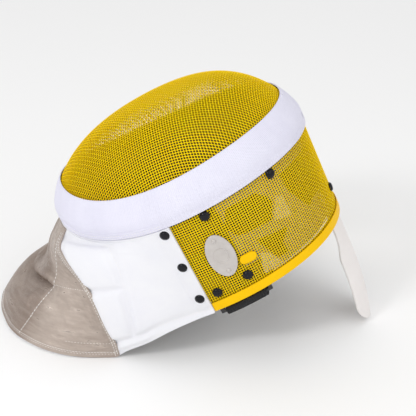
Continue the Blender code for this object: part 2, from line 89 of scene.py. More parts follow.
def faceSurface(angle, lift):
    seam = seamLoop(angle)
    a = np.radians(90 * np.asarray(lift, float))
    rise = np.sin(a) ** (2 / mask["risePower"])
    spread = np.maximum(np.cos(a), 0) ** (2 / mask["roundPower"])
    x = mask["peakShift"] + (seam[..., 0] - mask["peakShift"]) * spread
    z = seam[..., 2] + (mask["faceDepth"] - seam[..., 2]) * rise
    return np.stack([x, seam[..., 1] * spread, z], -1)


def faceOffset(angle, lift, out):
    step = 0.01
    low = np.maximum(lift - step, 0)
    along = faceSurface(angle + 1, lift) - faceSurface(angle - 1, lift)
    up = faceSurface(angle, low + 2 * step) - faceSurface(angle, low)
    return faceSurface(angle, lift) + unit(np.cross(up, along)) * np.asarray(out)[..., None]


def liftAt(angle, height):
    share = np.clip(height / (mask["faceDepth"] - seamLoop(angle)[..., 2]), 0, 1)
    return np.degrees(np.arcsin(share ** (mask["risePower"] / 2))) / 90


def bandRear(angle):
    return seamLoop(angle)[..., 2] - bandShape["rear"]


def rimRear(angle):
    a = np.radians(angle)
    return mask["rimRise"] * np.cos(a) - mask["rimDepth"] - mask["rimDrop"] * np.cos(2 * a)


def turned(points):
    t = math.radians(mask["restTilt"])
    x = points[..., 0] * math.cos(t) - points[..., 2] * math.sin(t)
    z = points[..., 0] * math.sin(t) + points[..., 2] * math.cos(t)
    return np.stack([x, points[..., 1], z], -1)


def toRow(points):
    return turned(points) + np.array(mask["restPlace"])


def wallSeat(angle, ahead, out, side=1):
    z = rimRear(angle) + ahead
    taper = mask["wallFlare"] / mask["rimDepth"]
    seam = seamLoop(angle)
    forward = unit(np.array([seam[0] * taper, seam[1] * taper, 1.0]))
    outward = loopOutward(angle)
    normal = unit(outward - forward * (outward @ forward))
    spot = wallSurface(angle, z) + normal * out
    flip = np.array([1, side, 1])
    spot, normal, forward = toRow(spot * flip), turned(normal * flip), turned(forward * flip)
    seat = np.column_stack([forward, np.cross(normal, forward), normal, spot])
    return Matrix([*seat.tolist(), (0, 0, 0, 1)])


def ramp(low, high, value):
    t = np.clip((np.asarray(value, float) - low) / (high - low), 0, 1)
    return t * t * (3 - 2 * t)


def ripple(u, v, seed, finest):
    waves, lastPhase = 9, 6.28
    draw = random.Random(seed)
    total = 0 * u
    for _ in range(waves):
        a, b = draw.uniform(-finest, finest), draw.uniform(-finest, finest)
        total = total + np.sin(2 * math.pi * (a * u + b * v) + draw.uniform(0, lastPhase)) / waves
    return total


def rowOf(table, v):
    return np.array(table)[np.round(v * (len(table) - 1)).astype(int)]


def surfaceGrid(shape, place):
    bm = bmesh.new()
    columns, rows = shape["cells"]
    width, height = shape.get("girth", shape["flat"])
    bmesh.ops.create_grid(bm, x_segments=columns, y_segments=rows, size=0.5)
    cloth = bm.loops.layers.uv.new("cloth")
    for face in bm.faces:
        for loop in face.loops:
            loop[cloth].uv = ((loop.vert.co.x + 0.5) * width, (loop.vert.co.y + 0.5) * height)
    flat = np.array([vert.co[:2] for vert in bm.verts]) + 0.5
    for vert, spot in zip(bm.verts, place(flat[:, 0], flat[:, 1])):
        vert.co = spot
    bmesh.ops.remove_doubles(bm, verts=bm.verts, dist=weld)
    return bm


def inScene(name, data):
    thing = bpy.data.objects.new(name, data)
    bpy.context.scene.collection.objects.link(thing)
    return thing


def addPiece(name, bm, look, nodes=(), sharp=35):
    mesh = bm
    if isinstance(bm, bmesh.types.BMesh):
        mesh = bpy.data.meshes.new(name)
        bm.to_mesh(mesh)
        bm.free()
    mesh.shade_smooth()
    mesh.set_sharp_from_angle(angle=math.radians(sharp))
    piece = inScene(name, mesh)
    mesh.materials.clear()
    mesh.materials.append(look)
    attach(piece, "root")
    if nodes:
        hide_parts(*nodes)
    return piece


def thicken(piece, thickness, side, edge=0.0, weighted=False):
    wall = piece.modifiers.new("wall", "SOLIDIFY")
    wall.thickness = thickness
    wall.offset = side
    wall.use_even_offset = not weighted
    wall.use_quality_normals = True
    if weighted:
        wall.vertex_group = piece.vertex_groups.new(name="loft").name
    if edge:
        soft = piece.modifiers.new("soft edge", "BEVEL")
        soft.width = edge
        soft.segments = 3
        soft.limit_method = "ANGLE"
        soft.angle_limit = math.radians(60)
        soft.use_clamp_overlap = True


def lineInside(piece, look):
    piece.data.materials.append(look)
    piece.modifiers["wall"].material_offset = 1


def tubes(name, lines, radius, sides, heart=None):
    curve = bpy.data.curves.new(name, "CURVE")
    curve.dimensions = "3D"
    curve.bevel_depth = radius
    curve.bevel_resolution = (sides - 4) // 2
    curve.use_fill_caps = True
    for line in lines:
        spline = curve.splines.new("POLY")
        spline.points.add(len(line) - 1)
        spline.points.foreach_set("co", np.column_stack([line, np.ones(len(line))]).ravel())
    holder = inScene(name, curve)
    view = bpy.context.evaluated_depsgraph_get()
    mesh = bpy.data.meshes.new_from_object(holder.evaluated_get(view))
    bpy.data.objects.remove(holder)
    bpy.data.curves.remove(curve)
    mesh.name = name
    if heart is not None:  # 1 on the side of a tube that faces away from the heart, -1 on the other
        spots = np.empty(len(mesh.vertices) * 3)
        mesh.vertices.foreach_get("co", spots)
        rings = spots.reshape(-1, sides, 3)
        away = unit(rings - rings.mean(axis=1, keepdims=True))
        outer = (away * unit(rings - heart)).sum(axis=-1)
        mesh.attributes.new("outer", "FLOAT", "POINT").data.foreach_set("value", outer.ravel())
    return mesh


# Materials
def put(tree, kind, settings=None, **feeds):
    node = tree.nodes.new("ShaderNode" + kind)
    for key, value in (settings or {}).items():
        setattr(node, key, value)
    for key, value in feeds.items():
        numbered = key[:2] == "in" and key[2:].isdigit()
        socket = node.inputs[int(key[2:]) if numbered else key.replace("_", " ")]
        if isinstance(value, bpy.types.NodeSocket):
            tree.links.new(value, socket)
        else:
            socket.default_value = value
    return node


def maths(tree, operation, *values, clamp=False):
    feeds = {f"in{i}": value for i, value in enumerate(values)}
    return put(tree, "Math", {"operation": operation, "use_clamp": clamp}, **feeds).outputs[0]


def span(tree, value, low, high, toLow=0.0, toHigh=1.0):
    return put(tree, "MapRange", Value=value, From_Min=low, From_Max=high, To_Min=toLow,
               To_Max=toHigh).outputs[0]


def noise(tree, place, scale, detail, roughness=0.5):
    return put(tree, "TexNoise", Vector=place, Scale=scale, Detail=detail, Roughness=roughness).outputs[0]


def blend(tree, share, first, second, kind="MIX"):
    return put(tree, "Mix", {"data_type": "RGBA", "blend_type": kind}, in0=share, in6=first,
               in7=second).outputs[2]


def newGroup(name, inputs, output):
    tree = bpy.data.node_groups.new(name, "ShaderNodeTree")
    for label, kind in inputs.items():
        tree.interface.new_socket(label, in_out="INPUT", socket_type="NodeSocket" + kind)
    tree.interface.new_socket(output[0], in_out="OUTPUT", socket_type="NodeSocket" + output[1])
    return tree, tree.nodes.new("NodeGroupInput").outputs, tree.nodes.new("NodeGroupOutput").inputs[0]


def weaveGroup():
    tree, given, result = newGroup(
        "cloth weave", {"Vector": "Vector", "Threads": "Float"}, ("Height", "Float"))
    scaled = put(tree, "VectorMath", {"operation": "SCALE"}, in0=given["Vector"], Scale=given["Threads"])
    split = put(tree, "SeparateXYZ", in0=scaled.outputs[0])
    across = maths(tree, "SINE", maths(tree, "MULTIPLY", split.outputs[0], math.pi))
    along = maths(tree, "SINE", maths(tree, "MULTIPLY", split.outputs[1], math.pi))
    over = maths(tree, "MULTIPLY_ADD", maths(tree, "MULTIPLY", across, along), 2.0, 0.5, clamp=True)
    warp = maths(tree, "MULTIPLY", maths(tree, "ABSOLUTE", across), over)
    weft = maths(tree, "MULTIPLY", maths(tree, "ABSOLUTE", along), maths(tree, "SUBTRACT", 1.0, over))
    tree.links.new(maths(tree, "ADD", warp, weft), result)
    return tree


def mottleGroup():
    tree, given, result = newGroup(
        "mottle",
        {"Vector": "Vector", "Scale": "Float", "Colour": "Color", "Shade": "Color", "Spread": "Float"},
        ("Colour", "Color"))
    cloud = noise(tree, given["Vector"], given["Scale"], 5.0, 0.6)
    low = maths(tree, "SUBTRACT", 0.5, given["Spread"])
    high = maths(tree, "ADD", 0.5, given["Spread"])
    level = span(tree, cloud, low, high)
    tree.links.new(blend(tree, level, given["Shade"], given["Colour"]), result)
    return tree


def ribGroup():
    tree, given, result = newGroup("ribs", {"Vector": "Vector", "Count": "Float"}, ("Height", "Float"))
    split = put(tree, "SeparateXYZ", in0=given["Vector"])
    turns = maths(tree, "MULTIPLY", maths(tree, "MULTIPLY", split.outputs[0], given["Count"]), 2 * math.pi)
    tree.links.new(maths(tree, "MULTIPLY_ADD", maths(tree, "SINE", turns), 0.5, 0.5), result)
    return tree


weave = weaveGroup()
mottle = mottleGroup()
ribs = ribGroup()


def newLook(name, colour, shade, scale, roughness, spread=0.2, onCloth=True, **sockets):
    look = bpy.data.materials.new(name)
    look.use_nodes = True
    tree = look.node_tree
    shader = tree.nodes["Principled BSDF"]
    if onCloth:
        place = put(tree, "UVMap", {"uv_map": "cloth"}).outputs[0]
    else:
        place = put(tree, "TexCoord").outputs["Object"]
    cloud = put(tree, "Group", {"node_tree": mottle}, Vector=place, Scale=scale, Colour=(*colour, 1),
                Shade=(*shade, 1), Spread=spread)
    tree.links.new(cloud.outputs[0], shader.inputs["Base Color"])
    shader.inputs["Roughness"].default_value = roughness
    for key, value in sockets.items():
        shader.inputs[key.replace("_", " ")].default_value = value
    look.diffuse_color = (*colour, 1)
    return look, tree, shader, place


def bumpFrom(tree, shader, height, strength, distance, **below):
    bump = put(tree, "Bump", Height=height, Strength=strength, Distance=distance, **below)
    tree.links.new(bump.outputs[0], shader.inputs["Normal"])


def mixPaint(look, share, first=None, second=None):  # a colour that isn't given is the present one
    tree = look.node_tree
    target = tree.nodes["Principled BSDF"].inputs["Base Color"]
    present = target.links[0].from_socket
    paint = blend(tree, share, first or present, second or present)
    tree.links.new(paint, target)
    return paint


def byMark(look, mark, low, high):
    found = put(look.node_tree, "Attribute", {"attribute_name": mark})
    return span(look.node_tree, found.outputs["Fac"], low, high)


def clothLook(name, colour, shade, scale, roughness, threads, depth, ribCount=0.0, **sockets):
    look, tree, shader, place = newLook(name, colour, shade, scale, roughness, **sockets)
    threadsOn = put(tree, "Group", {"node_tree": weave}, Vector=place, Threads=threads)
    fuzz = noise(tree, place, threads * 0.35, 3.0)
    height = maths(tree, "MULTIPLY_ADD", fuzz, 0.8, threadsOn.outputs[0])
    if ribCount:
        rib = put(tree, "Group", {"node_tree": ribs}, Vector=place, Count=ribCount).outputs[0]
        height = maths(tree, "MULTIPLY_ADD", rib, 1.5, height)
        # painted shade: the valleys between the ribs are painted towards the shade colour
        mixPaint(look, maths(tree, "MULTIPLY_ADD", rib, -0.5, 0.5), second=(*shade, 1))
    bumpFrom(tree, shader, height, 0.5, depth)
    return look


def paintLook(name, colour, shade, scale, roughness, grain, depth, **sockets):
    look, tree, shader, place = newLook(name, colour, shade, scale, roughness, onCloth=False, **sockets)
    fine = noise(tree, place, grain, 4.0, 0.65)
    bumpFrom(tree, shader, fine, 0.4, depth)
    rough = span(tree, fine, 0.3, 0.7, roughness * 0.8, min(roughness * 1.25, 1.0))
    tree.links.new(rough, shader.inputs["Roughness"])
    return look


wireLook = paintLook("yellow wire", (1.0, 0.8, 0.0), (0.98, 0.72, 0.0), 60, 0.45, 900, 0.0002,
                     Specular_IOR_Level=0.1)
# Painted shade: the flanks of each wire are a deeper orange than their tops
mixPaint(wireLook, byMark(wireLook, "outer", 0.4, 0.85), first=(1.0, 0.58, 0.0, 1))
mixPaint(wireLook, byMark(wireLook, "outer", -0.2, 0.15), first=(0.008, 0.008, 0.008, 1))
rimLook = paintLook("yellow enamel", (0.96, 0.58, 0.0), (0.92, 0.54, 0.0), 40, 0.4, 700, 0.0001,
                    spread=0.25, Specular_IOR_Level=0.12)
bandLook = clothLook("white elastic", (0.84, 0.83, 0.95), (0.76, 0.75, 0.88), 30, 0.9, 900, 0.0003, 620,
                     Sheen_Weight=0.1)
bibLook = clothLook("white cloth", (0.91, 0.91, 0.94), (0.87, 0.87, 0.92), 25, 0.9, 1400, 0.0003,
                    Sheen_Weight=0.1)
liningAndShadeLook = clothLook("dark lining", (0.03, 0.03, 0.036), (0.016, 0.016, 0.022), 25, 0.95, 1100, 0.0003)
# The grey of the padding is the padding in painted shade. The two mixes after it add painted shade, near
# black, where the mark is below zero (windows and darker stretches), and painted light, near white, on the
# pale patches.
linerLook = clothLook("grey padding", (0.4, 0.38, 0.48), (0.3, 0.28, 0.39), 40, 0.95, 1200, 0.0004)
mixPaint(linerLook, byMark(linerLook, "paintedLightShade", -0.2, -0.8), second=(0.03, 0.03, 0.036, 1))
mixPaint(linerLook, byMark(linerLook, "paintedLightShade", 0.2, 0.8), second=(0.96, 0.95, 0.98, 1))
tongueLook = clothLook("tongue covering", (0.87, 0.83, 0.815), (0.83, 0.79, 0.77), 30, 0.55, 1500, 0.0001)
strapLook = clothLook("black webbing", (0.01, 0.01, 0.011), (0.02, 0.02, 0.022), 90, 0.95, 700, 0.0012, 500)
loopLook = paintLook("black moulding", (0.02, 0.02, 0.022), (0.035, 0.035, 0.04), 60, 0.4, 1200, 0.0002)
snapLook = paintLook("black enamel", (0.004, 0.004, 0.006), (0.008, 0.008, 0.012), 80, 0.14, 600, 0.00003,
                     Specular_IOR_Level=0.25)
washerLook = paintLook("white washer", (0.86, 0.86, 0.9), (0.8, 0.8, 0.85), 80, 0.5, 900, 0.0001)
threadLook = paintLook("white thread", (0.95, 0.94, 0.93), (0.88, 0.87, 0.86), 300, 0.8, 2500, 0.0002)


def satinLook():
    look = clothLook("silver cloth", (0.56, 0.47, 0.41), (0.4, 0.33, 0.285), 22, 0.4, 1800, 0.0004,
                     spread=0.25, Metallic=0.6)
    tree = look.node_tree
    shader = tree.nodes["Principled BSDF"]
    place = put(tree, "UVMap", {"uv_map": "cloth"}).outputs[0]
    # Painted sheen: streaks of a lighter colour along the cloth stand in for the satin's gleam
    drawn = put(tree, "Mapping", Vector=place, Rotation=(0, 0, -0.5), Scale=(45, 170, 1))
    crush = noise(tree, drawn.outputs[0], 1.0, 4.0, 0.6)
    shine = maths(tree, "MULTIPLY", span(tree, crush, 0.42, 0.72), 0.35)
    gleam = mixPaint(look, shine, second=(0.76, 0.67, 0.59, 1))
    # Painted shade: the middle of the cover, where it turns under the throat, is painted darker
    middle, shadeEnd, shadeStart = 0.18, 0.098, 0.078  # across the cloth, where it turns under the throat
    across = put(tree, "SeparateXYZ", in0=place).outputs[0]
    fromMiddle = maths(tree, "ABSOLUTE", maths(tree, "SUBTRACT", across, middle))
    throatShade = blend(tree, 1.0, gleam, (0.72, 0.68, 0.66, 1), "MULTIPLY")
    mixPaint(look, span(tree, fromMiddle, shadeEnd, shadeStart), second=throatShade)
    tree.links.new(span(tree, crush, 0.35, 0.7, 0.42, 0.26), shader.inputs["Roughness"])
    weaveBump = shader.inputs["Normal"].links[0].from_socket
    bumpFrom(tree, shader, noise(tree, place, 48.0, 5.0), 0.85, 0.0042, Normal=weaveBump)
    return look


def steelLook():
    look, tree, shader, place = newLook("brushed plate", (0.61, 0.575, 0.55), (0.55, 0.515, 0.49), 120, 0.38,
                                        onCloth=False, Metallic=0.55)
    drawn = put(tree, "Mapping", {"vector_type": "TEXTURE"}, Vector=place,
                Rotation=(0, -math.radians(mask["restTilt"]), 0), Scale=(1 / 1500, 1, 1 / 60))
    brush = noise(tree, drawn.outputs[0], 1.0, 3.0)
    bumpFrom(tree, shader, brush, 0.35, 0.0001)
    tree.links.new(span(tree, brush, 0.3, 0.7, 0.3, 0.48), shader.inputs["Roughness"])
    return look


lameLook = satinLook()
plateLook = steelLook()
print("materials made")

# Woven wire of the face and the side
wire = {"pitch": 0.00255, "radius": 0.00043, "lift": 0.00043, "sides": 6, "reach": 0.985, "fewest": 3,
        "rearSpare": 0.002, "heart": -0.04}


def lengthAlong(points):
    return np.concatenate([[0], np.cumsum(np.linalg.norm(np.diff(points, axis=0), axis=1))])


def evenSteps(points, values):
    length = lengthAlong(points)
    count = int(length[-1] / wire["pitch"])
    spare = (length[-1] - count * wire["pitch"]) / 2
    return np.interp(spare + wire["pitch"] * np.arange(count + 1), length, values)


def faceHeight(x, y):
    table = np.linspace(0, 360, 1441)
    seam = seamLoop(table)
    bearing = np.unwrap(np.arctan2(-seam[:, 1], seam[:, 0] - mask["peakShift"]))
    here = np.mod(np.arctan2(-y, x - mask["peakShift"]) - bearing[0], 2 * np.pi) + bearing[0]
    angle = np.interp(here, bearing, table)
    edge = seamLoop(angle)
    reach = np.hypot(edge[..., 0] - mask["peakShift"], edge[..., 1])
    spread = np.hypot(x - mask["peakShift"], y) / reach
    cosine = np.clip(spread, 0, 1) ** (mask["roundPower"] / 2)
    rise = np.sqrt(1 - cosine ** 2) ** (2 / mask["risePower"])
    return edge[..., 2] + (mask["faceDepth"] - edge[..., 2]) * rise, spread


def faceWires():
    plan = np.linspace(-0.999, 0.999, 4001)
    alongX, alongY = plan * mask["halfHeight"], plan * mask["halfWidth"]
    spine = np.stack([alongX, faceHeight(alongX, 0 * plan)[0]], -1)
    brow = np.stack([alongY, faceHeight(0 * plan + mask["peakShift"], alongY)[0]], -1)
    xs, ys = evenSteps(spine, alongX), evenSteps(brow, alongY)
    x, y = np.meshgrid(xs, ys, indexing="ij")
    z, spread = faceHeight(x, y)
    step = 0.0002
    slopeX = (faceHeight(x + step, y)[0] - faceHeight(x - step, y)[0]) / (2 * step)
    slopeY = (faceHeight(x, y + step)[0] - faceHeight(x, y - step)[0]) / (2 * step)
    normal = unit(np.stack([-slopeX, -slopeY, np.ones_like(z)], -1))
    parity = (-1.0) ** np.add.outer(np.arange(len(xs)), np.arange(len(ys)))
    lifted = normal * (parity * wire["lift"])[..., None]
    point = np.stack([x, y, z], -1)
    over, under, inside = toRow(point + lifted), toRow(point - lifted), spread < wire["reach"]
    across = [over[i][inside[i]] for i in range(len(xs)) if inside[i].sum() > wire["fewest"]]
    upward = [under[:, j][inside[:, j]] for j in range(len(ys)) if inside[:, j].sum() > wire["fewest"]]
    return across, upward


def sideWires():
    fine = np.linspace(-mask["meshEnd"], mask["meshEnd"], 3001)
    angle = evenSteps(wallSurface(fine, bandRear(fine)), fine)
    rows = int((mask["rimDepth"] - wire["rearSpare"]) / wire["pitch"])
    share = np.linspace(0, 1, rows)
    front = seamLoop(angle)[:, 2] - mask["gap"] / 2 - wire["radius"]
    rear = rimRear(angle) + mask["rimWall"] + mask["gap"] + wire["radius"]
    z = front[:, None] + (rear - front)[:, None] * share
    grid = np.broadcast_to(angle[:, None], z.shape)
    parity = (-1.0) ** np.add.outer(np.arange(len(angle)), np.arange(rows))
    over = toRow(wallSurface(grid, z, parity * wire["lift"]))
    under = toRow(wallSurface(grid, z, -parity * wire["lift"]))
    return [over[i] for i in range(len(angle))], [under[:, j] for j in range(rows)]


across, upward = faceWires()
backward, around = sideWires()
faceHeart = toRow(np.array([mask["peakShift"], 0.0, wire["heart"]]))
sideHeart = toRow(np.array([0.0, 0.0, -mask["rimDepth"] / 2]))
for name, lines, heart, nodes in (
        ("face_wires_across", across, faceHeart, ["front_mesh"]), ("face_wires_up", upward, faceHeart, []),
        ("side_wires_back", backward, sideHeart, ["side_mesh"]), ("side_wires_round", around, sideHeart, [])):
    woven = tubes(name, lines, wire["radius"], wire["sides"], heart)
    addPiece(name, woven, wireLook, nodes, 80)
print("wires woven:", len(across), len(upward), len(backward), len(around))

# Elastic band over the seam: (share of its width, share of its thickness) round its section.
# Past the flush share the section is the double hem, which only the part sewn to the bib has.
bandSection = ((0.5, 0.0), (0.2, 0.0), (0.03, 0.0), (0.004, 0.2), (0.0, 0.5), (0.006, 0.82), (0.025, 1.0),
               (0.15, 1.0), (0.3, 1.0), (0.45, 1.02), (0.6, 1.03), (0.7, 1.03), (0.78, 1.02), (0.8, 1.02),
               (0.808, 1.35), (0.83, 1.5), (0.87, 1.5), (0.885, 1.3), (0.9, 1.5), (0.945, 1.5), (0.96, 1.3),
               (0.975, 1.5), (0.994, 1.25), (1.0, 0.5), (0.99, 0.1), (0.94, 0.0), (0.75, 0.0), (0.5, 0.0))
bandHem = {"from": 93.0, "ramp": 6.0, "rows": (0.885, 0.96), "split": 0.66, "flush": 1.05, "groove": 1.3}


def hemShare(angle):
    fromChin = np.abs(180 - np.asarray(angle, float))
    return ramp(180 - bandHem["from"], 180 - bandHem["from"] - bandHem["ramp"], fromChin)


def bandOnWall(angle, share, out):
    back = np.clip((share - bandHem["split"]) / (1 - bandHem["split"]), 0, 1)
    seam = seamLoop(angle)[..., 2]
    return wallSurface(angle, seam + (bandRear(angle) - seam) * back, out)


def bandPlace(u, v):
    angle = 360 * u
    share, level = rowOf(bandSection, v).T
    height = np.minimum(level, bandHem["flush"])
    height = height + np.maximum(level - bandHem["flush"], 0) * hemShare(angle)
    swell = np.where(level > bandShape["outside"], bandShape["swell"], 0)
    out = bandShape["inner"] + height * bandShape["thick"] + swell * ripple(u * 14, share, 3, 3.0)
    lift = liftAt(angle, bandShape["front"]) * np.clip(1 - share / bandHem["split"], 0, 1)
    onFace = faceOffset(angle, lift, out)
    return toRow(np.where((share < bandHem["split"])[:, None], onFace, bandOnWall(angle, share, out)))


bandShape["cells"] = (480, len(bandSection) - 1)
band = surfaceGrid(bandShape, bandPlace)
bmesh.ops.recalc_face_normals(band, faces=band.faces)
band = addPiece("elastic_band", band, bandLook, ["trim_band"])
band.data.materials.append(liningAndShadeLook)
bandCloth = band.data.uv_layers["cloth"].uv
for face in band.data.polygons:  # the side against the wires is painted dark, a painted shade
    around = np.mean([bandCloth[i].vector.y for i in face.loop_indices]) / bandShape["girth"][1]
    if not 2 <= around * bandShape["cells"][1] <= bandShape["cells"][1] - 3:
        face.material_index = 1
print("band made")

# Steel edging: (share of its half width, share of its depth)
rimSection = ((1.0, 1.0), (1.03, 0.9), (1.0, 0.5), (1.0, 0.14), (0.93, 0.05), (0.78, 0.0), (0.0, -0.01),
              (-0.78, 0.0), (-0.93, 0.05), (-1.0, 0.14), (-1.0, 0.5), (-1.03, 0.9), (-1.0, 1.0))
rimShape = {"width": 0.0095, "half": 0.0019, "cells": (240, len(rimSection) - 1), "flat": (0.42, 0.022)}


def rimPlace(u, v):
    end = mask["jaw"] - math.degrees(mask["gap"] / mask["halfWidth"])
    angle = -end + 2 * end * u
    across, back = rowOf(rimSection, v).T
    z = rimRear(angle) + back * rimShape["width"]
    return toRow(wallSurface(angle, z, across * rimShape["half"]))


rim = surfaceGrid(rimShape, rimPlace)
rim = addPiece("rim_channel", rim, rimLook, ["rim_edging"])
thicken(rim, mask["rimWall"], -1)

# The bib's sheet: one row for each column of cloth from the left side to the chin. Each point is
# (x, y, z) as shares of the half height, the half width and the stand above the floor.
bibShape = {
    "stand": 0.1673, "seatAngle": 99.0, "seatLength": 0.004, "thick": 0.0028,
    "wallShares": (0.0, 0.04, 0.33, 0.58, 0.8, 1.0), "wrinkle": 0.0009, "flat": (0.62, 0.19),
    "padded": 0.0056, "thinShare": 0.52, "area": 0.064, "seamWidth": 0.0042, "seamDepth": 0.7,
    "groove": 0.36, "panelAcross": (0.27, 0.32, 0.47, 0.52), "panelDown": (0.26, 0.31, 0.94, 0.99),
    "sheetCells": (180, 240), "cells": (300, 120), "edge": 0.0008,
}
bibColumns = (
    (112, (-0.244, -1.0, -0.307), (-0.122, -1.03, -0.484), (-0.031, -1.05, -0.638), (0.061, -1.03, -0.773)),
    (128, (-0.489, -0.91, -0.342), (-0.351, -1.01, -0.531), (-0.229, -1.05, -0.732), (-0.137, -1.02, -0.88)),
    (144, (-0.702, -0.74, -0.401), (-0.504, -0.96, -0.579), (-0.382, -1.03, -0.791), (-0.28, -1.01, -0.945)),
    (158, (-0.847, -0.515, -0.472), (-0.611, -0.88, -0.608), (-0.489, -0.99, -0.815), (-0.389, -1.0, -1.0)),
    (166, (-0.924, -0.32, -0.519), (-0.786, -0.74, -0.649), (-0.794, -0.93, -0.821), (-0.771, -1.02, -1.0)),
    (172, (-0.958, -0.19, -0.543), (-0.908, -0.55, -0.691), (-1.053, -0.7, -0.832), (-1.153, -0.78, -1.0)),
    (176, (-0.976, -0.1, -0.549), (-1.031, -0.28, -0.75), (-1.244, -0.37, -0.856), (-1.344, -0.42, -1.0)),
    (180, (-0.985, 0.0, -0.549), (-1.084, 0.0, -0.773), (-1.305, 0.0, -0.868), (-1.42, 0.0, -1.0)),
)


def smoothThrough(points, places):
    last = len(points) - 1
    i = np.clip(places.astype(int), 0, last - 1)
    t = (places - i)[:, None]
    a, b = points[i], points[i + 1]
    before = np.where((i > 0)[:, None], points[np.maximum(i - 1, 0)], 2 * a - b)
    after = np.where((i + 2 <= last)[:, None], points[np.minimum(i + 2, last)], 2 * b - a)
    length = np.linalg.norm(b - a, axis=1, keepdims=True)
    leave, arrive = unit(b - before) * length, unit(after - a) * length
    ends = a * (1 + 2 * t) * (1 - t) ** 2 + b * t ** 2 * (3 - 2 * t)
    return ends + leave * t * (1 - t) ** 2 - arrive * t ** 2 * (1 - t)


def wallColumn(angle):
    top, bottom = bandRear(angle) - mask["gap"], rimRear(angle)
    z = top + (bottom - top) * np.array(bibShape["wallShares"])
    return toRow(wallSurface(angle, z, mask["meshHalf"] + mask["gap"]))


def bibSheet(halfSteps, downSteps):
    out = mask["meshHalf"] + mask["gap"]
    downs = np.linspace(0, 5, downSteps + 1)
    columns = [smoothThrough(wallColumn(angle), downs) for angle in (mask["jaw"], bibShape["seatAngle"])]
    size = np.array([mask["halfHeight"], mask["halfWidth"], bibShape["stand"]])
    for angle, *folds in bibColumns:
        top = bandRear(angle) - mask["gap"]
        seat = toRow(wallSurface(angle, np.array([top, top - bibShape["seatLength"]]), out))
        column = np.vstack([seat, np.array(folds) * size + np.array(mask["restPlace"])])
        columns.append(smoothThrough(column, downs))
    middle = len(columns) - 1
    columns += [column * np.array([1, -1, 1]) for column in reversed(columns[:-1])]
    columns = np.array(columns)
    places = np.linspace(0, middle, halfSteps + 1)
    sheet = np.zeros((downSteps + 1, 2 * halfSteps + 1, 3))
    for j in range(downSteps + 1):
        sheet[j, :halfSteps + 1] = smoothThrough(columns[:, j], places)
    onWall = np.nonzero(places < 1)[0]
    for i in onWall:
        angle = mask["jaw"] + (bibShape["seatAngle"] - mask["jaw"]) * places[i]
        sheet[:, i] = smoothThrough(wallColumn(angle), downs)
    sheet[:, halfSteps, 1] = 0
    sheet[:, halfSteps + 1:] = sheet[:, :halfSteps][:, ::-1] * np.array([1, -1, 1])
    return sheet


def sheetNormals(sheet):
    return unit(np.cross(np.gradient(sheet, axis=1), np.gradient(sheet, axis=0)))


# Where the cloth folds over at the throat: (across, down) shares
crease = {
    "line": ((0.7, 0.59), (0.74, 0.6), (0.8, 0.59), (0.88, 0.592), (0.96, 0.625), (1.04, 0.665),
             (1.12, 0.655), (1.2, 0.61), (1.26, 0.6), (1.3, 0.59)),
    "high": 0.0065, "low": 0.0052, "spread": 0.065, "sharp": 0.009, "crumple": 0.0011,
}
sheet = bibSheet(*bibShape["sheetCells"])
uu, vv = np.meshgrid(np.linspace(0, 2, sheet.shape[1]), np.linspace(0, 1, sheet.shape[0]))


def inward(low, high):  # 0 near both side edges of the bib, 1 between them
    return ramp(low, high, uu) * ramp(low, high, 2 - uu)


waves = bibShape["wrinkle"] * ramp(0.02, 0.3, vv) * inward(0.12, 0.3) * ripple(uu * 1.6, vv * 1.2, 11, 2.2)
past = vv - np.interp(uu, *np.array(crease["line"]).T)
under = ramp(-crease["sharp"], crease["sharp"], past)
fold = ((1 - under) * crease["high"] - under * crease["low"]) * np.exp(-(past / crease["spread"]) ** 2)
fold = fold * inward(0.7, 0.8)
crumple = crease["crumple"] * inward(0.62, 0.75) * ramp(0.2, 0.4, vv) * ripple(uu * 5, vv * 2.5, 23, 2.4)
sheet += sheetNormals(sheet) * (waves + fold + crumple)[..., None]
normals = sheetNormals(sheet)


def onSheet(u, v, out=0.0):
    x = np.clip(np.asarray(u, float) / 2, 0, 1) * (sheet.shape[1] - 1)
    y = np.clip(np.asarray(v, float), 0, 1) * (sheet.shape[0] - 1)
    i, j = np.minimum(x.astype(int), sheet.shape[1] - 2), np.minimum(y.astype(int), sheet.shape[0] - 2)
    s, t = (x - i)[..., None], (y - j)[..., None]
    found = []
    for data in (sheet, normals):
        top = data[j, i] * (1 - s) + data[j, i + 1] * s
        low = data[j + 1, i] * (1 - s) + data[j + 1, i + 1] * s
        found.append(top * (1 - t) + low * t)
    return found[0] + unit(found[1]) * np.asarray(out)[..., None]


def fineLine(points, steps=60):
    points = np.array(points, float)
    places = np.linspace(0, len(points) - 1, steps)
    return smoothThrough(np.column_stack([points, 0 * points[:, 0]]), places)[:, :2]


def bothSides(lines):
    return lines + [[(2 - u, v) for u, v in line] for line in lines]


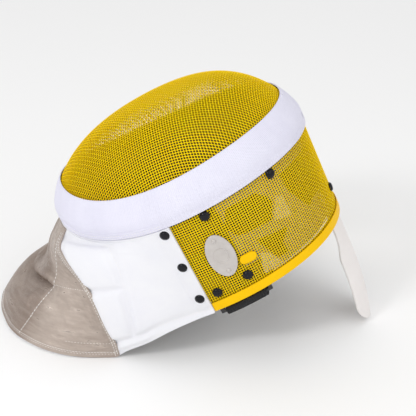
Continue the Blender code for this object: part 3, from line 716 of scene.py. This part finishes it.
# Seams of the bib in its own (across, down) shares
bibSeams = {
    "quilting": bothSides([
        [(0.294, 0.29), (0.285, 0.46), (0.306, 0.59), (0.333, 0.76), (0.378, 0.91)],
        [(0.306, 0.6), (0.4, 0.6), (0.49, 0.592)],
        [(0.294, 0.29), (0.39, 0.29), (0.53, 0.285)],
        [(0.02, 0.95), (0.12, 0.94), (0.27, 0.92), (0.4, 0.91), (0.5, 0.905)],
    ]),
    "lameEdge": [(0.545, 0.0), (0.545, 0.25), (0.525, 0.39), (0.505, 0.45), (0.485, 0.53), (0.487, 0.59),
                 (0.48, 0.7), (0.475, 0.82), (0.49, 0.92), (0.515, 1.0)],
    "boldSeams": bothSides([[(0.56, 0.38), (0.64, 0.47), (0.735, 0.595), (0.76, 0.79), (0.78, 0.985)]]),
    "fineSeams": bothSides([
        [(0.735, 0.605), (0.62, 0.6), (0.5, 0.592)],
        [(0.66, 0.905), (0.58, 0.9), (0.5, 0.895)],
    ]),
    "lameHem": [(0.5, 0.975), (0.6, 0.977), (0.78, 0.98), (1.0, 0.98), (1.22, 0.98), (1.4, 0.977),
                (1.5, 0.975)],
}


def lineTree(lines):
    spots = np.vstack([onSheet(*fineLine(line, 160).T) for line in lines])
    tree = KDTree(len(spots))
    for i, spot in enumerate(spots):
        tree.insert(spot, i)
    tree.balance()
    return tree


def sewnWeights(bm, lines, shape, loft=None):
    tree = lineTree(lines)
    layer = bm.verts.layers.deform.verify()
    for vert in bm.verts:
        near = tree.find(vert.co)[2]
        full = loft(vert) if loft else 1.0
        vert[layer][0] = full * (1 - shape["seamDepth"] * math.exp(-(near / shape["seamWidth"]) ** 2))


def bibLoft(vert):  # the two quilted panels stand thicker than the cloth round them
    across, down = vert.link_loops[0][bibCloth].uv
    u, v = across / bibShape["flat"][0] * 2, down / bibShape["flat"][1]
    panel = 1.0
    for share, limits in ((min(u, 2 - u), bibShape["panelAcross"]), (v, bibShape["panelDown"])):
        panel *= float(ramp(*limits[:2], share) * ramp(limits[3], limits[2], share))
    return bibShape["thinShare"] + (1 - bibShape["thinShare"]) * panel


bib = surfaceGrid(bibShape, lambda u, v: onSheet(2 * u, v))
bibCloth = bib.loops.layers.uv["cloth"]
sewnWeights(bib, bibSeams["quilting"], bibShape, bibLoft)
bib = addPiece("bib_cloth", bib, bibLook, ["bib"], 60)
thicken(bib, bibShape["padded"], 1, edge=bibShape["edge"], weighted=True)
# The inner side of the bib takes the dark lining: a guessed lining colour, and a painted shade for the inside
# of the mask
lineInside(bib, liningAndShadeLook)

# Silver cover on the front of the bib
lame = {"lift": 0.0031, "thick": 0.0011, "flat": (0.36, 0.19), "area": 0.038, "seamWidth": 0.0022,
        "seamDepth": 0.6, "hemGap": 0.012, "edgeRows": (0.012, 0.03), "cells": (190, 170), "edge": 0.0003}


def lamePlace(u, v):
    edge = np.array(bibSeams["lameEdge"])
    first = np.interp(v, edge[:, 1], edge[:, 0])
    return onSheet(first + (2 - 2 * first) * u, v, lame["lift"] + 0 * u)


cover = surfaceGrid(lame, lamePlace)
sewnWeights(cover, bibSeams["boldSeams"] + bibSeams["fineSeams"] + [bibSeams["lameHem"]], lame)
cover = addPiece("bib_cover", cover, lameLook, ["bib_front"], 60)
thicken(cover, lame["thick"], 1, edge=lame["edge"], weighted=True)
print("bib made")

# Thread
thread = {"length": 0.0021, "pitch": 0.0031, "radius": 0.00026, "sink": 0.0003}
bold = {"length": 0.003, "pitch": 0.0038, "radius": 0.00042}
stitchRun = np.array([0, 0.3, 0.7, 1.0])
stitchRise = np.array([-0.8, 0.7, 0.7, -0.8])


def stitches(line, out, size=thread, place=onSheet):
    fine = fineLine(line, 400)
    length = lengthAlong(place(fine[:, 0], fine[:, 1], out))
    made = []
    at = size["pitch"] / 2
    while at + size["length"] < length[-1]:
        ends = at + size["length"] * stitchRun
        u, v = np.interp(ends, length, fine[:, 0]), np.interp(ends, length, fine[:, 1])
        made.append(place(u, v, out + size["radius"] * stitchRise))
        at += size["pitch"]
    return made


def bandSpot(angle, share, out):
    return toRow(bandOnWall(angle, share, out))


def sewn(name, lines, size):
    return addPiece(name, tubes(name, lines, size["radius"], 4), threadLook)


lameTop = lame["lift"] + lame["thick"]
seamTop = lameTop - thread["sink"]
boldRows, fineRows, quiltRows, hemRows = [], [], [], []
for line in bibSeams["boldSeams"]:
    boldRows += stitches(line, seamTop, bold)
for line in bibSeams["fineSeams"] + [bibSeams["lameHem"]]:
    fineRows += stitches(line, seamTop)
edgeLines = [[(u, v - lame["hemGap"]) for u, v in bibSeams["lameHem"]]]
for shift in lame["edgeRows"]:
    edgeLines += bothSides([[(u + shift, v) for u, v in bibSeams["lameEdge"][1:]]])
for line in edgeLines:
    fineRows += stitches(line, lameTop)
for line in bibSeams["quilting"]:
    quiltRows += stitches(line, bibShape["padded"] * bibShape["thinShare"] * bibShape["groove"])
firstStitch = bandHem["from"] + 2
for share in bandHem["rows"]:
    line = [(angle, share) for angle in np.linspace(firstStitch, 360 - firstStitch, 60)]
    hemRows += stitches(line, bandShape["inner"] + bandShape["thick"] * bandHem["groove"], thread, bandSpot)
coverThread = sewn("cover_stitching", fineRows, thread)
seamThread = sewn("seam_stitching", boldRows, bold)
quiltThread = sewn("quilt_stitching", quiltRows, thread)
hemThread = sewn("band_stitching", hemRows, thread)
print("stitches:", len(fineRows) + len(boldRows) + len(quiltRows) + len(hemRows))

# Padded liner
liner = {"thick": 0.008, "end": 73.0, "front": 0.019, "rear": 0.001, "side": 0.0022, "under": 0.0045,
         "recess": (22.2, 27.9), "soft": 0.007, "flat": (0.34, 0.09), "fill": 0.5, "cover": 0.25,
         "windowBlur": 1.5, "patchBlur": 2.0, "perDegree": 2.2, "cells": (220, 70), "edge": 0.0015}
# Windows, where only the padding's thin cover is left, as (angle, share of the depth)
linerHoles = (
    ((55.2, 0.177), (48.1, 0.319), (52.3, 0.443), (69.5, 0.461), (72.5, 0.355), (67.8, 0.185)),
    ((63.4, 0.562), (44.9, 0.62), (53.4, 0.767)),
    ((62.8, 0.731), (63.6, 1.1), (80.0, 1.1), (80.0, 0.731)),
)
# Pale patches of painted light on its outer side, and darker stretches of painted shade
linerPaintedLight = (
    ((45.2, 0.328), (41.0, 0.368), (40.2, 0.58), (51.0, 0.52)),
    ((63.2, 0.675), (59.2, 0.72), (54.2, 0.875), (66.2, 0.893)),
)
linerPaintedShade = (
    ((66.0, 0.202), (54.0, 0.19), (52.2, 0.25), (46.8, 0.355), (51.2, 0.505), (68.8, 0.48), (70.5, 0.335),
     (68.8, 0.27)),
    ((62.2, 0.598), (51.5, 0.592), (50.0, 0.83), (57.0, 0.81)),
    ((40.0, 0.1), (-6.0, 0.1), (-6.0, 0.62), (29.0, 0.62), (34.0, 0.5), (38.0, 0.378)),
)


def linerSpot(angle, z, out=0.0):
    low, high = liner["recess"]
    ease = np.clip((high - np.abs(angle)) / (high - low), 0, 1)
    return wallSurface(angle, z, -(liner["side"] + (liner["under"] - liner["side"]) * ease) + out)


def linerPlace(u, v):
    angle = -liner["end"] + 2 * liner["end"] * u
    rear = rimRear(angle) + rimShape["width"] + liner["rear"]
    return toRow(linerSpot(angle, -liner["front"] + (rear + liner["front"]) * v))


def unrolled(x, y, z):  # millimetres round and along the wall, near enough
    return np.stack([np.degrees(np.arctan2(-y, x)) * liner["perDegree"], z * 1000], -1)


def linerMap(outlines):  # each outline on both sides
    flat = []
    for outline in outlines:
        angle, depth = np.array(outline).T
        for side in (1, -1):
            flat.append(unrolled(*linerSpot(side * angle, -depth * mask["rimDepth"]).T))
    return flat


def flatSpots(bm):
    t = math.radians(mask["restTilt"])
    x, y, z = (np.array([vert.co for vert in bm.verts]) - np.array(mask["restPlace"])).T
    return unrolled(x * math.cos(t) + z * math.sin(t), y, z * math.cos(t) - x * math.sin(t))


def edgeDistance(flat, outlines):  # millimetres to the nearest outline, and whether inside one
    best = np.full(len(flat), np.inf)
    within = np.zeros(len(flat), bool)
    for corners in outlines:
        inside = np.zeros(len(flat), bool)
        for a, b in zip(corners, np.roll(corners, -1, axis=0)):
            d = b - a
            t = np.clip(((flat - a) @ d) / (d @ d), 0, 1)
            best = np.minimum(best, np.linalg.norm(flat - (a + t[:, None] * d), axis=1))
            crosses = (a[1] > flat[:, 1]) != (b[1] > flat[:, 1])
            with np.errstate(divide="ignore", invalid="ignore"):
                inside ^= crosses & (flat[:, 0] < (b[0] - a[0]) * (flat[:, 1] - a[1]) / (b[1] - a[1]) + a[0])
        within |= inside
    return best, within


pad = surfaceGrid(liner, linerPlace)
layer = pad.verts.layers.deform.verify()
paintedLightShade = pad.verts.layers.float.new("paintedLightShade")
flat = flatSpots(pad)
verts = list(pad.verts)
for vert, gap, there in zip(verts, *edgeDistance(flat, linerMap(linerHoles))):
    padding = 0 if there else 1 - liner["cover"]
    vert[layer][0] = liner["cover"] + padding * float(ramp(0, liner["soft"] * 1000, gap))
    if there:  # the cover across a window is painted dark, a painted shade
        vert[paintedLightShade] = -float(ramp(0, liner["windowBlur"], gap))
for outlines, mark in ((linerPaintedShade, -1.0), (linerPaintedLight, 1.0)):
    for outline in linerMap(outlines):
        for vert, gap, there in zip(verts, *edgeDistance(flat, [outline])):
            strength = float(ramp(0, liner["patchBlur"], gap))
            if there and strength > mark * vert[paintedLightShade]:
                vert[paintedLightShade] = mark * strength
bmesh.ops.reverse_faces(pad, faces=pad.faces)
# The padding's first material is the dark lining, a painted shade; lineInside below gives its other shell the
# grey padding
pad = addPiece("head_padding", pad, liningAndShadeLook, ["liner"], 60)
thicken(pad, liner["thick"], 1, edge=liner["edge"], weighted=True)
lineInside(pad, linerLook)

# Thin dark linings just inside the wires and the band, a painted shade for the inside of the mask:
# under the brow, behind the seam of band and bib, and at each side of the jaw, back to the edging
browShadeLining = {"from": -73.0, "to": 73.0, "rear": 0.026, "inner": 0.0011, "cells": (150, 8),
              "flat": (0.3, 0.026), "on": "side_mesh"}
chinShadeLining = {"from": 73.4, "to": 286.6, "rear": 0.02, "inner": 0.0022, "cells": (160, 6),
              "flat": (0.4, 0.02), "on": "elastic_band"}
jawShadeLining = {"from": 71.5, "to": 99.0, "shortOfRim": 0.0003, "inner": 0.0011, "cells": (30, 50),
             "flat": (0.055, 0.115), "on": "side_mesh"}
lining = {"thick": 0.001, "front": 0.0004, "edge": 0.0003}


def liningPlace(shape, side):
    def place(u, v):
        angle = shape["from"] + (shape["to"] - shape["from"]) * u
        front = seamLoop(angle)[..., 2] - lining["front"]
        if "rear" in shape:
            rear = -shape["rear"]
        else:
            rear = rimRear(angle) + rimShape["width"] + shape["shortOfRim"]
        spots = wallSurface(angle, front + (rear - front) * v, -shape["inner"])
        return toRow(spots * np.array([1, side, 1]))
    return place


def addShadeLining(name, shape, side=1, flipped=False):
    cloth = surfaceGrid(shape, liningPlace(shape, side))
    if flipped or side < 0:
        bmesh.ops.reverse_faces(cloth, faces=cloth.faces)
    cloth = addPiece(name, cloth, liningAndShadeLook)
    thicken(cloth, lining["thick"], 1 if flipped else -1, edge=lining["edge"])
    return cloth


lineInside(addShadeLining("brow_lining", browShadeLining, flipped=True), linerLook)
addShadeLining("chin_lining", chinShadeLining)
for word, side in halves:
    addShadeLining(f"jaw_shade_lining_{word}", jawShadeLining, side)
print("liner made")

# Spring tongue
tongue = {
    "width": 0.058, "thick": 0.002, "root": 0.076, "tip": 0.2418, "bend": 0.0118, "bendPower": 3.0,
    "arch": 0.08, "endArch": 0.042, "archShare": 0.3, "inner": 0.0022, "bluntShare": 0.05,
    "flat": (0.058, 0.166), "cells": (32, 120), "edge": 0.0007,
}


def tonguePlace(u, v):
    back = tongue["root"] + (tongue["tip"] - tongue["root"]) * v
    start = wallSurface(0.0, -mask["rimDepth"], -tongue["inner"])[0]
    onWall = wallSurface(0.0, -np.minimum(back, mask["rimDepth"]), -tongue["inner"])[..., 0]
    past = np.clip((back - mask["rimDepth"]) / (tongue["tip"] - mask["rimDepth"]), 0, 1)
    x = np.where(back < mask["rimDepth"], onWall, start - tongue["bend"] * past ** tongue["bendPower"])
    roundEnd = tongue["width"] / 2
    near = np.minimum(tongue["tip"] - back, roundEnd)
    narrow = np.maximum(1 - (1 - near / roundEnd) ** 2, tongue["bluntShare"]) ** 0.5
    y = (0.5 - u) * tongue["width"] * narrow
    arch = tongue["arch"] + (tongue["endArch"] - tongue["arch"]) * ramp(0, tongue["archShare"], past)
    return toRow(np.stack([x - arch + np.sqrt(arch ** 2 - y ** 2), y, -back], -1))


blade = surfaceGrid(tongue, tonguePlace)
blade = addPiece("tongue_blade", blade, tongueLook, ["back_tongue"], 50)
thicken(blade, tongue["thick"], -1, edge=tongue["edge"])
print("tongue made")

# Domed snaps and rivets, as (share of radius, share of height) from the middle out
snap = {"radius": 0.005, "height": 0.0024, "steps": 36, "bibAngle": 95.1, "bibRows": (0.0238, 0.0615, 0.0995),
        "bandAngles": (77.1, 43.5), "rimSpots": ((87.3, 0.0183), (72.2, 0.0212)), "crown": 0.027}
washer = {"radius": 0.0058, "height": 0.0004}
snapProfile = ((0.0, 1.0), (0.25, 0.985), (0.48, 0.93), (0.66, 0.81), (0.78, 0.62), (0.85, 0.4), (0.88, 0.24),
               (0.9, 0.2), (0.97, 0.18), (1.0, 0.1), (1.0, 0.0), (0.0, 0.0))
discProfile = ((0.0, 1.0), (0.9, 1.0), (0.97, 0.85), (1.0, 0.5), (1.0, 0.0), (0.0, 0.0))
ringProfile = ((0.84, 0.0), (0.86, 0.7), (0.9, 1.0), (0.95, 1.0), (0.985, 0.7), (1.0, 0.0))


def button(seats, radius, height, profile=snapProfile):
    bm = bmesh.new()
    for seat in seats:
        ring = [bm.verts.new((x * radius, 0, z * height)) for x, z in profile]
        edges = [bm.edges.new(pair) for pair in zip(ring, ring[1:])]
        bmesh.ops.spin(bm, geom=ring + edges, cent=(0, 0, 0), axis=(0, 0, 1), angle=2 * math.pi,
                       steps=snap["steps"], use_merge=True)
        fresh = [vert for vert in bm.verts if not vert.tag]
        bmesh.ops.transform(bm, matrix=seat, verts=fresh)
        for vert in fresh:
            vert.tag = True
    bmesh.ops.remove_doubles(bm, verts=bm.verts, dist=weld)
    bmesh.ops.recalc_face_normals(bm, faces=bm.faces)
    return bm


def addButtons(name, seats, shape, look, nodes=(), profile=snapProfile):
    addPiece(name, button(seats, shape["radius"], shape["height"], profile), look, nodes)


onMesh = mask["meshHalf"] + mask["gap"]
onBib = onMesh + bibShape["thick"] + mask["gap"]
for word, side in halves:
    angle = snap["bibAngle"]
    seats = [wallSeat(angle, -back - rimRear(angle), onBib, side) for back in snap["bibRows"]]
    nodes = [f"bib_snap_{word}_{i}" for i in (1, 2, 3)]
    addButtons(f"bib_snaps_{word}", seats, snap, snapLook, nodes)
    addButtons(f"bib_washers_{word}", seats, washer, washerLook, profile=discProfile)
    below = snap["radius"] + 2 * mask["gap"]
    seats = [wallSeat(a, bandRear(a) - below - rimRear(a), onMesh, side) for a in snap["bandAngles"]]
    seats += [wallSeat(a, ahead, onMesh, side) for a, ahead in snap["rimSpots"]]
    nodes = [f"{kind}_snap_{word}_{i}" for kind in ("band", "rim") for i in (1, 2)]
    addButtons(f"mesh_snaps_{word}", seats, snap, snapLook, nodes)
crownSeat = wallSeat(0.0, snap["crown"], onMesh)
addButtons("crown_stud", [crownSeat], snap, snapLook, ["crown_rivet"])

# Steel plate with its ring and rivets, and the lug for a cord
plate = {"angle": 78.5, "ahead": 0.0524, "long": 0.0465, "wide": 0.027, "round": 1.95, "thick": 0.0012,
         "edge": 0.00045, "rivetSpacing": 0.0345}
rivet = {"radius": 0.0024, "height": 0.0009 + mask["gap"]}
ring = {"radius": 0.0082, "height": 0.00035}
lug = {"angle": 68.8, "ahead": 0.0373, "long": 0.017, "wide": 0.009, "thick": 0.0015, "edge": 0.0006}


def ovalSpot(x, y):
    power = 2 / plate["round"]
    along, across = math.copysign(abs(x) ** power, x), math.copysign(abs(y) ** power, y)
    return along * plate["long"] / 2, across * plate["wide"] / 2


def lugSpot(x, y):
    shift = (lug["long"] - lug["wide"]) / 2
    return x * lug["wide"] / 2, y * lug["wide"] / 2 + (math.copysign(shift, y) if abs(y) > 0.001 else 0)


def stamping(shape, spot):
    bm = bmesh.new()
    bmesh.ops.create_circle(bm, cap_ends=True, radius=1, segments=96)
    for vert in bm.verts:
        vert.co = (*spot(vert.co.x, vert.co.y), 0)
    raised = bmesh.ops.extrude_face_region(bm, geom=bm.faces[:])["geom"]
    top = [item for item in raised if isinstance(item, bmesh.types.BMVert)]
    bmesh.ops.translate(bm, vec=(0, 0, shape["thick"]), verts=top)
    rimEdges = [item for item in bm.edges if all(vert.co.z > shape["thick"] / 2 for vert in item.verts)]
    bmesh.ops.bevel(bm, geom=rimEdges, offset=shape["edge"], segments=4, profile=0.5, affect="EDGES",
                    material=-1)
    bmesh.ops.recalc_face_normals(bm, faces=bm.faces)
    seat = wallSeat(shape["angle"], shape["ahead"], onMesh)
    bmesh.ops.transform(bm, matrix=seat, verts=bm.verts)
    return bm, seat


badge, seat = stamping(plate, ovalSpot)
addPiece("side_badge", badge, plateLook, ["side_plate"])
plateTop = seat @ Matrix.Translation((0, 0, plate["thick"]))
addButtons("badge_ring", [plateTop], ring, plateLook, profile=ringProfile)
seats = [plateTop @ Matrix.Translation((share * plate["rivetSpacing"], 0, 0)) for share in (0.5, -0.5)]
addButtons("badge_rivets", seats, rivet, plateLook, ["plate_rivet_1", "plate_rivet_2"])
addPiece("clip_lug", stamping(lug, lugSpot)[0], rimLook, ["cord_lug"])

# Slotted loops inside the rim and the back strap between them
loopLevels = (0.0, 0.4, 0.8, 1.0, 1.5, 2.0, 2.5, 3.0)
loop = {"from": 64.7, "to": 90.6, "ahead": 0.0284, "reach": 0.0075, "thick": 0.0025, "slotFront": 0.001,
        "slotRear": 0.0042, "out": 0.0022, "post": 4, "edge": 0.0007, "cells": (48, len(loopLevels) - 1),
        "flat": (1.0, 1.0)}
strap = {"thick": 0.002, "sag": 0.01, "sideGap": 0.0014, "runSteps": 10, "flat": (0.034, 0.26),
         "edge": 0.0005, "middle": 0.00002, "weld": 0.00003, "cells": (16, 132)}
# From the loose end round the rear bar to the long run: (steps in, share of the loop's reach behind the rim)
strapPath = ((16.0, 1.0), (10.0, 0.8), (6.0, 0.58), (3.6, 0.36), (1.6, 0.28), (0.0, 0.3), (-1.0, 0.5),
             (-1.3, 0.85), (-0.8, 1.12), (0.5, 1.24), (2.4, 1.27), (5.0, 1.32), (9.0, 1.42))


def loopPlace(side):
    def place(u, v):
        angle = loop["from"] + (loop["to"] - loop["from"]) * u
        rear = rimRear(angle)
        level = rowOf(loopLevels, v)
        rows = np.array([loop["ahead"] - mask["rimDepth"] + 0 * rear, rear + loop["slotFront"],
                         rear - loop["slotRear"], rear - loop["reach"]])
        low = np.minimum(level.astype(int), 2)
        column = np.arange(len(level))
        z = rows[low, column] + (rows[low + 1, column] - rows[low, column]) * (level - low)
        return toRow(wallSurface(angle, z, -loop["out"]) * np.array([1, side, 1]))
    return place


for word, side in halves:
    bar = surfaceGrid(loop, loopPlace(side))
    cloth = bar.loops.layers.uv["cloth"]
    slotFaces = []
    for face in bar.faces:
        middle = sum((item[cloth].uv for item in face.loops), Vector((0, 0))) / len(face.loops)
        column, row = middle.x * loop["cells"][0], middle.y * loop["cells"][1]
        level = np.interp(row, range(len(loopLevels)), loopLevels)
        if loop["post"] < column < loop["cells"][0] - loop["post"] and 1 < level < 2:
            slotFaces.append(face)
    bmesh.ops.delete(bar, geom=slotFaces, context="FACES")
    if side < 0:
        bmesh.ops.reverse_faces(bar, faces=bar.faces)
    bar = addPiece(f"slot_bar_{word}", bar, loopLook, [f"strap_loop_{word}"], 50)
    thicken(bar, loop["thick"], -1, edge=loop["edge"])


def strapPlace(u, v):
    post = (loop["to"] - loop["from"]) * loop["post"] / loop["cells"][0]
    margin = post + math.degrees(strap["sideGap"] / mask["halfWidth"])
    angle = loop["from"] + margin + (loop["to"] - loop["from"] - 2 * margin) * u
    edge = wallSurface(angle, rimRear(angle), -loop["out"])
    last = len(strapPath) - 1
    path = []
    for row in range(last + 1 + strap["runSteps"]):
        inward, share = strapPath[min(row, last)]
        along = max(row - last, 0) / strap["runSteps"]
        y = (edge[:, 1] + inward * strap["thick"]) * (1 - along)
        sag = strap["sag"] * math.sin(math.pi / 2 * along)
        path.append(np.stack([edge[:, 0], y, edge[:, 2] - share * loop["reach"] - sag], -1))
    path = np.array(path)
    spots = [smoothThrough(path[:, i], np.array([v[i] * (len(path) - 1)]))[0] for i in range(len(u))]
    return np.array(spots)


webbing = surfaceGrid(strap, strapPlace)
for vert in webbing.verts:
    if abs(vert.co.y) < strap["middle"]:
        vert.co.y = 0
half = webbing.verts[:] + webbing.edges[:] + webbing.faces[:]
bmesh.ops.mirror(webbing, geom=half, axis="Y", merge_dist=strap["weld"])
bmesh.ops.recalc_face_normals(webbing, faces=webbing.faces)
for vert, spot in zip(webbing.verts, toRow(np.array([vert.co for vert in webbing.verts]))):
    vert.co = spot
webbing = addPiece("head_strap", webbing, strapLook, ["back_strap"], 60)
thicken(webbing, strap["thick"], 0, edge=strap["edge"])
print("strap made")

# Floor, light and camera
bpy.context.scene.view_settings.view_transform = "Standard"
floorShape = {"size": 30, "white": 0.97, "roughness": 0.9}
floor = bmesh.new()
bmesh.ops.create_grid(floor, x_segments=1, y_segments=1, size=floorShape["size"])
floorMesh = bpy.data.meshes.new("floor")
floor.to_mesh(floorMesh)
floor.free()
white = bpy.data.materials.new("white floor")
white.use_nodes = True
paint = white.node_tree.nodes["Principled BSDF"].inputs
paint["Base Color"].default_value = (*[floorShape["white"]] * 3, 1)
paint["Roughness"].default_value = floorShape["roughness"]
floorMesh.materials.append(white)
inScene("floor", floorMesh)

sky = {"low": 0.58, "high": 0.88, "highFrom": 0.7}
world = bpy.data.worlds.new("studio")
world.use_nodes = True
air = world.node_tree
upward = put(air, "SeparateXYZ", in0=put(air, "TexCoord").outputs["Generated"]).outputs[2]
glow = span(air, upward, 0.0, sky["highFrom"], sky["low"], sky["high"])
air.links.new(glow, air.nodes["Background"].inputs["Strength"])
air.nodes["Background"].inputs["Color"].default_value = (1, 1, 1, 1)
bpy.context.scene.world = world
lamps = (
    {"name": "key", "place": (-0.8, -1.0, 1.1), "size": 0.3, "power": 6.3},
    {"name": "fill", "place": (0.9, -0.8, 0.7), "size": 1.0, "power": 2.2},
)
lampAim = Vector((0, 0, 0.1))
for lamp in lamps:
    data = bpy.data.lights.new(lamp["name"], "AREA")
    data.energy = lamp["power"]
    data.size = lamp["size"]
    light = inScene(lamp["name"], data)
    light.location = lamp["place"]
    light.rotation_euler = (lampAim - light.location).to_track_quat("-Z", "Y").to_euler()

shot = {"place": (0.08343, -0.89614, 0.58775), "azimuth": 3.8724, "elevation": 27.6793, "roll": 1.0675,
        "view": 23.76967}
cameraData = bpy.data.cameras.new("camera")
cameraData.angle = math.radians(shot["view"])
camera = inScene("camera", cameraData)
camera.location = shot["place"]
facing = Matrix.Rotation(math.radians(shot["azimuth"]), 3, "Z")
facing = facing @ Matrix.Rotation(math.radians(90 - shot["elevation"]), 3, "X")
camera.rotation_euler = (facing @ Matrix.Rotation(math.radians(shot["roll"]), 3, "Z")).to_euler()
bpy.context.scene.camera = camera

bpy.context.view_layer.update()
